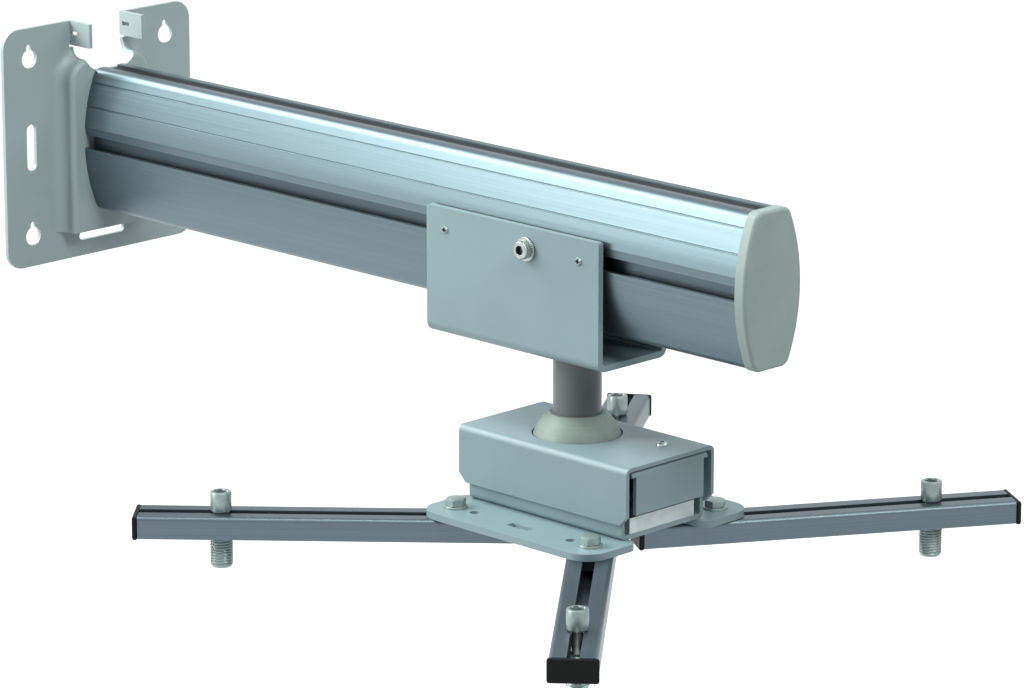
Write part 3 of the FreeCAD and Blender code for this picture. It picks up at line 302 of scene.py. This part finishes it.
materials = {
    "bracket_paint": powder_coat("bracket_paint", BRACKET_GREY),
    "head_paint": powder_coat("head_paint", HEAD_GREY),
    "anodised_boom": anodised("anodised_boom", BOOM_SILVER),
    "cap_plastic": moulded("cap_plastic", CAP_GREY),
    "black_plastic": moulded("black_plastic", BLACK, 0.45, shine=0.15),
    "zinc_steel": plated("zinc_steel", ZINC),
    "bright_steel": plated("bright_steel", BRIGHT, 0.24, metal=0.9),
    "dark_steel": plated("dark_steel", DARK_STEEL, 0.35),
    "post_steel": powder_coat("post_steel", POST_GREY, 0.36),
    "nickel_ball": turned_metal("nickel_ball", NICKEL),
    "cast_aluminium": cast_metal("cast_aluminium", CAST),
}


def arm_axis(arm):
    """The direction along an arm, from the record's slide."""
    joint = next(j for j in frame["joints"] if j["name"] == f"{arm}_arm_reach")
    return Vector(joint["axis"]).normalized()


def dress_nodes():
    finishes = dict(slots)
    for arm in ARMS:
        axis = arm_axis(arm)
        turn = math.atan2(axis.y, axis.x)
        materials[f"anodised_arm_{arm}"] = anodised(f"anodised_arm_{arm}", ARM_SILVER, turn)
        finishes[f"{arm}_arm"] = f"anodised_arm_{arm}"
    for name, obj in nodes.items():
        obj.data.materials.clear()
        obj.data.materials.append(materials[finishes[name]])


# Softened edges on the folded and extruded pieces

SOFT_EDGES = {
    # node: width in millimetres
    "wall_bracket": 0.5,
    "carriage_bracket": 0.6,
    "housing_shell": 0.7,
    "inner_frame": 0.5,
    "head_channel": 0.5,
    "spider_plate": 0.7,
    "socket_cup": 0.5,
    "boom_end_cap": 1.0,
    "clamp_washers": 0.3,
}
ARM_SOFT_EDGES = {"arm": 0.3, "arm_caps": 1.5}
WELD_REACH = 1e-6
FLAT_ANGLE = math.radians(0.5)
BEVEL_ANGLE = math.radians(35)
BEVEL_SEGMENTS = 2


def soften(name, width):
    """Rounded edges. The flats' triangles are joined first, so that the bevel meets plain faces."""
    obj = nodes[name]
    weld = obj.modifiers.new("weld", "WELD")
    weld.merge_threshold = WELD_REACH
    flats = obj.modifiers.new("flats", "DECIMATE")
    flats.decimate_type = "DISSOLVE"
    flats.angle_limit = FLAT_ANGLE
    bevel = obj.modifiers.new("bevel", "BEVEL")
    bevel.width = width * MM
    bevel.segments = BEVEL_SEGMENTS
    bevel.limit_method = "ANGLE"
    bevel.angle_limit = BEVEL_ANGLE
    bevel.miter_outer = "MITER_ARC"
    bevel.use_clamp_overlap = True
    bevel.face_strength_mode = "FSTR_ALL"
    normals = obj.modifiers.new("normals", "WEIGHTED_NORMAL")
    normals.keep_sharp = True
    normals.use_face_influence = True


# Turned shapes: rings from the top pole to the bottom one, each a radius and a height in
# millimetres. A radius or a height may also be a function of the angle.

SHARP_ANGLE = math.radians(32)
# Faces that reach below this height, such as a shank's, keep the piece's own finish; recess faces above it are
# painted dark steel as shade
RECESS_FLOOR = -3.2
# How steeply a thread's flank rises from its root, cut off at the crest
FLANK_SLOPE = 2.4
DOWN = Matrix.Rotation(math.pi, 4, "X")
TO_FRONT = Matrix.Rotation(math.pi / 2, 4, "X")
TO_BACK = Matrix.Rotation(-math.pi / 2, 4, "X")
TO_WALL = Matrix.Rotation(-math.pi / 2, 4, "Y")


def value_at(value, turn):
    return value(turn) if callable(value) else value


def hexagon(flats):
    """The radius of a hexagon of that width across its flats, by angle."""
    return lambda turn: flats / 2 / math.cos(turn % (math.pi / 3) - math.pi / 6)


def cross(reach, half_width):
    """The radius of a cross recess, by angle."""
    def radius(turn):
        along, aside = sorted((abs(math.cos(turn)), abs(math.sin(turn))), reverse=True)
        return min(reach / along, half_width / max(aside, 1e-6))
    return radius


def wider(radius, extra):
    return lambda turn: value_at(radius, turn) + extra


def thread(crest, root, top, bottom, pitch, rows=6):
    """Rings of a right-hand thread."""
    def profile(height):
        def radius(turn):
            phase = (height / pitch - turn / math.tau) % 1
            return root + (crest - root) * min(1.0, FLANK_SLOPE * abs(phase - 0.5))
        return radius
    count = max(2, round((top - bottom) / pitch * rows))
    heights = [top - (top - bottom) * step / count for step in range(count + 1)]
    return [(profile(height), height) for height in heights]


def turned_shape(rings, segments, bored=False):
    """Points and faces. A bored shape has no poles: its last ring joins its first."""
    points = []
    for radius, height in rings:
        for step in range(segments):
            turn = math.tau * step / segments
            reach = value_at(radius, turn)
            x, y = reach * math.cos(turn), reach * math.sin(turn)
            points.append(Vector((x, y, value_at(height, turn))))
    last = (len(rings) - 1) * segments
    starts = range(0, last + 1 if bored else last, segments)
    top, bottom = len(points), len(points) + 1
    faces = []
    for step in range(segments):
        after = (step + 1) % segments
        for upper in starts:
            lower = (upper + segments) % len(points)
            faces.append((upper + step, lower + step, lower + after, upper + after))
        if not bored:
            faces.append((top, step, after))
            faces.append((last + step, bottom, last + after))
    if not bored:
        points += [Vector((0, 0, value_at(height, 0))) for _, height in (rings[0], rings[-1])]
    return points, faces


def add_turned(node, body, rings, places, slot=None, segments=48, recess=0.0, bored=False):
    """One piece in a CAD node's stead, a turned shape at each place. Faces within the recess
    radius and above the recess floor take the dark steel, as shade painted into the recess."""
    slot = slot or slots[node]
    points, faces = turned_shape(rings, segments, bored)
    all_points = []
    all_faces = []
    for place in places:
        start = len(all_points)
        all_points += [place @ (point * MM) for point in points]
        all_faces += [tuple(start + corner for corner in face) for face in faces]
    mesh = bpy.data.meshes.new(f"{node}_detail")
    mesh.from_pydata(all_points, [], all_faces)
    mesh.shade_smooth()
    mesh.set_sharp_from_angle(angle=SHARP_ANGLE)
    mesh.materials.append(materials[slot])
    # Painted shade: faces deep in the recess take the dark steel
    if recess:
        mesh.materials.append(materials["dark_steel"])
        for number, polygon in enumerate(mesh.polygons):
            corners = [points[corner] for corner in faces[number % len(faces)]]
            dark = all(corner.xy.length < recess and corner.z > RECESS_FLOOR for corner in corners)
            polygon.material_index = int(dark)
    piece = bpy.data.objects.new(f"{node}_detail", mesh)
    bpy.context.scene.collection.objects.link(piece)
    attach(piece, body)
    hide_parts(node)


def middle(low, high):
    return (low + high) / 2


def corner_box(node):
    low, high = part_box(node)
    return Vector(low), Vector(high)


def top_place(low, high):
    """The place of an upright piece: the middle of its box, at the top."""
    return Matrix.Translation((middle(low.x, high.x), middle(low.y, high.y), high.z))


# Shares of a thread's pitch, and the chamfer's circle as a share of a hexagon's width
THREAD_DEPTH = 0.6
TIP_DEPTH = 0.75
TIP_LENGTH = 0.7
HEAD_CIRCLE = 0.465
KNURLS = 32


def hex_bolt(flats, head, shank, length, pitch, plain):
    """A hexagon-head bolt, with the top of its head at height 0."""
    side = hexagon(flats)
    circle = HEAD_CIRCLE * flats
    neck = shank / 2
    tip = TIP_LENGTH * pitch
    rings = [
        (circle - 0.3, 0),
        (circle, -0.12),
        (side, lambda turn: -0.12 - 0.55 * (side(turn) - circle)),
        (side, lambda turn: 0.35 * (side(turn) - circle) - head),
        (circle, -head),
        (neck, -head),
        (neck, -head - plain),
    ]
    rings += thread(neck, neck - THREAD_DEPTH * pitch, -head - plain - 0.05, tip - length, pitch)
    return rings + [(neck - TIP_DEPTH * pitch, -length)]


def socket_screw(head_dia, head, socket, depth, shank, length, pitch):
    """A knurled socket-head screw, with the top of its head at height 0."""
    key = hexagon(socket)
    outer = head_dia / 2
    neck = shank / 2

    def knurled(turn):
        return outer - 0.14 * (1 + math.cos(KNURLS * turn))

    rings = [
        (key, -depth),
        (key, -0.35),
        (wider(key, 0.35), 0),
        (outer - 1.0, 0),
        (outer - 0.35, -0.6),
        (knurled, -1.0),
        (knurled, 0.5 - head),
        (outer - 0.5, -head),
        (neck, -head),
        (neck, -head - 2),
    ]
    rings += thread(neck, neck - THREAD_DEPTH * pitch, -head - 2.05, 1 - length, pitch)
    return rings + [(neck - TIP_DEPTH * pitch, -length)]


def pan_screw(recess, depth, head_dia, head, shank, length):
    """A low round-head screw, with the top of its head at height 0."""
    outer = head_dia / 2
    neck = shank / 2
    flat = 0.52 * outer
    return [
        (wider(recess, -0.12), -depth),
        (recess, -0.1),
        (wider(recess, 0.1), 0),
        (max(flat, value_at(recess, 0) + 0.3), 0),
        (0.8 * outer, -0.22 * head),
        (0.95 * outer, -0.55 * head),
        (outer, -0.85 * head),
        (outer, -head),
        (neck, -head),
        (neck, 0.5 - length),
        (neck - 0.5, -length),
    ]


def sunk_screw(recess, depth, head_dia, shank, length):
    """A countersunk screw, with its flat top at height 0."""
    outer = head_dia / 2
    neck = shank / 2
    return [
        (wider(recess, -0.15), -depth),
        (recess, -0.12),
        (wider(recess, 0.12), 0),
        (outer - 0.15, 0),
        (outer, -0.15),
        (neck, neck - outer),
        (neck, 0.6 - length),
        (neck - 0.6, -length),
    ]


# Fasteners, in millimetres

CROSS_SEGMENTS = 64
KNURL_SEGMENTS = 4 * KNURLS
SHADED_RECESSES = {
    # node: radius within which the recess is painted dark steel, as shade
    "clamp_bolts": 2.6,
    "clamp_screws": 3.6,
    "guide_screws": 1.9,
    "top_screw": 1.9,
    "boom_screws": 2.9,
}
PIVOT_HEAD = {"flats": 13, "head": 5.3, "shank": 8, "pitch": 1.25, "plain": 7}
POST_HEAD = {"flats": 19, "head": 7.5, "shank": 12, "pitch": 1.75, "plain": 5}
CLAMP_SCREW = {"head_dia": 13, "head": 5.5, "socket": 6, "depth": 2.75, "shank": 8, "pitch": 1.25}
GUIDE_SCREW = {"recess": cross(1.75, 0.62), "depth": 1.2, "head_dia": 5.6, "head": 1.4, "shank": 3}
TOP_SCREW = {"recess": hexagon(3), "depth": 1.4, "head_dia": 8.5, "head": 2.4, "shank": 5}
CLAMP_BOLT = {"recess": hexagon(4), "depth": 2.2, "head_dia": 11.5, "shank": 6}
BOOM_SCREW = {"recess": cross(2.7, 0.75), "depth": 1.8, "head_dia": 8.8, "shank": 4}
WASHER_BORE = 8.2
WASHER_LIFT = 0.04


def washer(outer, bore, thick):
    """A pressed washer with rounded upper edges, its top at height 0."""
    return [
        (bore, -0.3),
        (bore + 0.3, 0),
        (outer - 0.45, 0),
        (outer - 0.12, -0.12),
        (outer, -0.45),
        (outer, WASHER_LIFT - thick),
        (bore, WASHER_LIFT - thick),
    ]


def add_bolts():
    for arm in ARMS:
        low, high = corner_box(f"{arm}_pivot_washer")
        place = top_place(low, high)
        rings = washer((high.x - low.x) / 2 / MM, WASHER_BORE / 2, (high.z - low.z) / MM)
        add_turned(f"{arm}_pivot_washer", f"{arm}_pivot", rings, [place], bored=True)

        low, high = corner_box(f"{arm}_pivot_bolt")
        place = top_place(low, high)
        rings = hex_bolt(length=(high.z - low.z) / MM, **PIVOT_HEAD)
        add_turned(f"{arm}_pivot_bolt", f"{arm}_pivot", rings, [place])

    low, high = corner_box("post_bolt")
    place = top_place(low, high)
    add_turned("post_bolt", "post", hex_bolt(length=(high.z - low.z) / MM, **POST_HEAD), [place])

    low, high = corner_box("clamp_bolts")
    inset = CLAMP_BOLT["head_dia"] / 2 * MM
    corners = [(x, y) for x in (low.x + inset, high.x - inset) for y in (low.y + inset, high.y - inset)]
    places = [Matrix.Translation((x, y, low.z)) @ DOWN for x, y in corners]
    rings = sunk_screw(length=(high.z - low.z) / MM, **CLAMP_BOLT)
    add_turned("clamp_bolts", "head", rings, places, recess=SHADED_RECESSES["clamp_bolts"])


def screw_length(node):
    """The length in millimetres of one of a node's screws, which are mirrored in Y."""
    sides = [vertex.co.y for vertex in nodes[node].data.vertices if vertex.co.y > 0]
    return (max(sides) - min(sides)) / MM


def facing_pair(x, front, back, z):
    """Places of two screws whose heads face the front and the back."""
    front_place = Matrix.Translation((x, front, z)) @ TO_FRONT
    back_place = Matrix.Translation((x, back, z)) @ TO_BACK
    return [front_place, back_place]


def add_screws():
    low, high = corner_box("clamp_screws")
    places = facing_pair(middle(low.x, high.x), low.y, high.y, middle(low.z, high.z))
    rings = socket_screw(length=screw_length("clamp_screws"), **CLAMP_SCREW)
    add_turned("clamp_screws", "carriage", rings, places, segments=KNURL_SEGMENTS,
               recess=SHADED_RECESSES["clamp_screws"])

    low, high = corner_box("guide_screws")
    inset = GUIDE_SCREW["head_dia"] / 2 * MM
    places = []
    for x in (low.x + inset, high.x - inset):
        places += facing_pair(x, low.y, high.y, middle(low.z, high.z))
    rings = pan_screw(length=screw_length("guide_screws"), **GUIDE_SCREW)
    add_turned("guide_screws", "carriage", rings, places, "zinc_steel", CROSS_SEGMENTS,
               SHADED_RECESSES["guide_screws"])

    low, high = corner_box("top_screw")
    place = top_place(low, high)
    rings = pan_screw(length=(high.z - low.z) / MM, **TOP_SCREW)
    add_turned("top_screw", "head", rings, [place], recess=SHADED_RECESSES["top_screw"])

    low, high = corner_box("boom_screws")
    inset = BOOM_SCREW["head_dia"] / 2 * MM
    ports = [(low.y + inset, high.z - inset), (high.y - inset, high.z - inset), (0, low.z + inset)]
    places = [Matrix.Translation((low.x, y, z)) @ TO_WALL for y, z in ports]
    rings = sunk_screw(length=(high.x - low.x) / MM, **BOOM_SCREW)
    add_turned("boom_screws", "wall_frame", rings, places, segments=CROSS_SEGMENTS,
               recess=SHADED_RECESSES["boom_screws"])


FOOT_SOCKET = 8.0
FOOT_SOCKET_DEPTH = 7.0
# Radius within which the foot nut's socket is painted dark steel, as shade
FOOT_SHADED_RECESS = 5.0
FOOT_NECK = 7.8
FOOT_BORE = 8.0
FOOT_PITCH = 2.0
TAPPED_BORE = 5.0
TAPPED_DEPTH = 14.0
SPACER_GAP = 0.15


def add_feet():
    key = hexagon(FOOT_SOCKET)
    for arm in ARMS:
        low, high = corner_box(f"{arm}_foot_nut")
        neck_top = corner_box(f"{arm}_foot_spacer")[1].z
        outer = (high.x - low.x) / 2 / MM
        tall = (high.z - low.z) / MM
        ledge = (neck_top - high.z) / MM
        bore = FOOT_BORE / 2
        rings = [
            (key, -FOOT_SOCKET_DEPTH),
            (key, -0.6),
            (wider(key, 0.5), -0.1),
            (wider(key, 0.7), 0),
            (outer - 0.9, 0),
            (outer - 0.3, -0.25),
            (outer, -0.8),
            (outer, 1.5 - tall),
            (outer - 0.2, 1.1 - tall),
            (outer - 1.0, 0.15 - tall),
            (outer - 1.2, -tall),
            (bore, -tall),
            (bore, ledge + 0.05),
        ]
        place = top_place(low, high)
        add_turned(f"{arm}_foot_nut", f"{arm}_foot_body", rings, [place], recess=FOOT_SHADED_RECESS)

        low, high = corner_box(f"{arm}_foot_spacer")
        shoulder = (corner_box(f"{arm}_arm")[0].z - high.z) / MM - SPACER_GAP
        floor = (low.z - high.z) / MM
        outer = (high.x - low.x) / 2 / MM
        neck = FOOT_NECK / 2
        tap = TAPPED_BORE / 2
        rings = [
            (neck - 0.5, 0),
            (neck, -0.5),
            (neck, shoulder),
            (outer - 1.3, shoulder),
            (outer - 0.2, shoulder - 1.1),
        ]
        rings += thread(outer, outer - 0.85, shoulder - 1.3, floor + 2.2, FOOT_PITCH, 8)
        rings += [
            (outer - 0.7, floor + 1.9),
            (outer - 0.7, floor + 0.9),
            (outer - 1.6, floor),
            (tap + 0.5, floor),
            (tap, floor + 0.5),
            (tap, floor + TAPPED_DEPTH),
        ]
        place = top_place(low, high)
        add_turned(f"{arm}_foot_spacer", f"{arm}_foot_body", rings, [place])


# Studio

FLOOR_DROP = 0.42
FLOOR_SIZE = 30.0
FLOOR_GREY = 0.42
FLOOR_GLOW = 0.88
WORLD_LEVEL = 0.16
WORLD_TINT = (0.96, 0.99, 1.0, 1)
LAMP_TINT = (0.97, 1.0, 0.95)
LIGHTS = {
    # name: (place, size across, size along, watts)
    "key_softbox": ((-0.66, -1.62, 0.60), 0.75, 1.25, 27.0),
    "top_softbox": ((-1.16, -0.82, 1.32), 1.8, 1.0, 58.0),
    "overhead": ((0.80, -0.45, 2.10), 1.0, 0.7, 14.0),
    "right_fill": ((2.30, -0.50, 1.90), 1.0, 1.0, 35.0),
    "back_strip": ((1.60, 1.20, 1.40), 1.8, 0.9, 14.0),
}
LIGHT_TARGET = Vector((0.42, 0.0, -0.08))


def seen_ray(tree):
    """1 for a ray from the camera or off a glossy or clear surface, else 0."""
    path = tree.nodes.new("ShaderNodeLightPath")
    seen = path.outputs["Is Camera Ray"]
    for ray in ("Is Glossy Ray", "Is Transmission Ray"):
        either = tree.nodes.new("ShaderNodeMath")
        either.operation = "MAXIMUM"
        tree.links.new(seen, either.inputs[0])
        tree.links.new(path.outputs[ray], either.inputs[1])
        seen = either.outputs[0]
    return seen


def add_floor():
    mesh = bpy.data.meshes.new("floor")
    half = FLOOR_SIZE / 2
    corners = [(-half, -half, 0), (half, -half, 0), (half, half, 0), (-half, half, 0)]
    mesh.from_pydata(corners, [], [(0, 1, 2, 3)])
    floor = bpy.data.objects.new("floor", mesh)
    floor.location.z = cad_bounds[0][2] - FLOOR_DROP
    bpy.context.scene.collection.objects.link(floor)
    finish = Finish("floor", Base_Color=(FLOOR_GREY, FLOOR_GREY, FLOOR_GREY, 1), Roughness=0.9,
                    Emission_Color=(1, 1, 1, 1))
    finish.feed("Emission Strength", finish.spread(seen_ray(finish.tree), 0.0, FLOOR_GLOW, 0, 1))
    mesh.materials.append(finish.material)


def add_world():
    world = bpy.data.worlds.new("studio")
    world.use_nodes = True
    bpy.context.scene.world = world
    tree = world.node_tree
    background = tree.nodes["Background"]
    background.inputs["Color"].default_value = WORLD_TINT
    level = tree.nodes.new("ShaderNodeMapRange")
    level.inputs["To Min"].default_value = WORLD_LEVEL
    level.inputs["To Max"].default_value = 1.0
    tree.links.new(seen_ray(tree), level.inputs["Value"])
    tree.links.new(level.outputs["Result"], background.inputs["Strength"])


def add_lights():
    for name, (place, across, along, watts) in LIGHTS.items():
        data = bpy.data.lights.new(name, "AREA")
        data.shape = "RECTANGLE"
        data.size = across
        data.size_y = along
        data.energy = watts
        data.color = LAMP_TINT
        lamp = bpy.data.objects.new(name, data)
        lamp.location = place
        lamp.rotation_euler = (LIGHT_TARGET - Vector(place)).to_track_quat("-Z", "Y").to_euler()
        bpy.context.scene.collection.objects.link(lamp)


add_camera()
dress_nodes()
for softened, edge in SOFT_EDGES.items():
    soften(softened, edge)
for arm_name in ARMS:
    for ending, edge in ARM_SOFT_EDGES.items():
        soften(f"{arm_name}_{ending}", edge)
add_bolts()
add_screws()
add_feet()
add_floor()
add_world()
add_lights()
bpy.context.scene.view_settings.view_transform = "Standard"
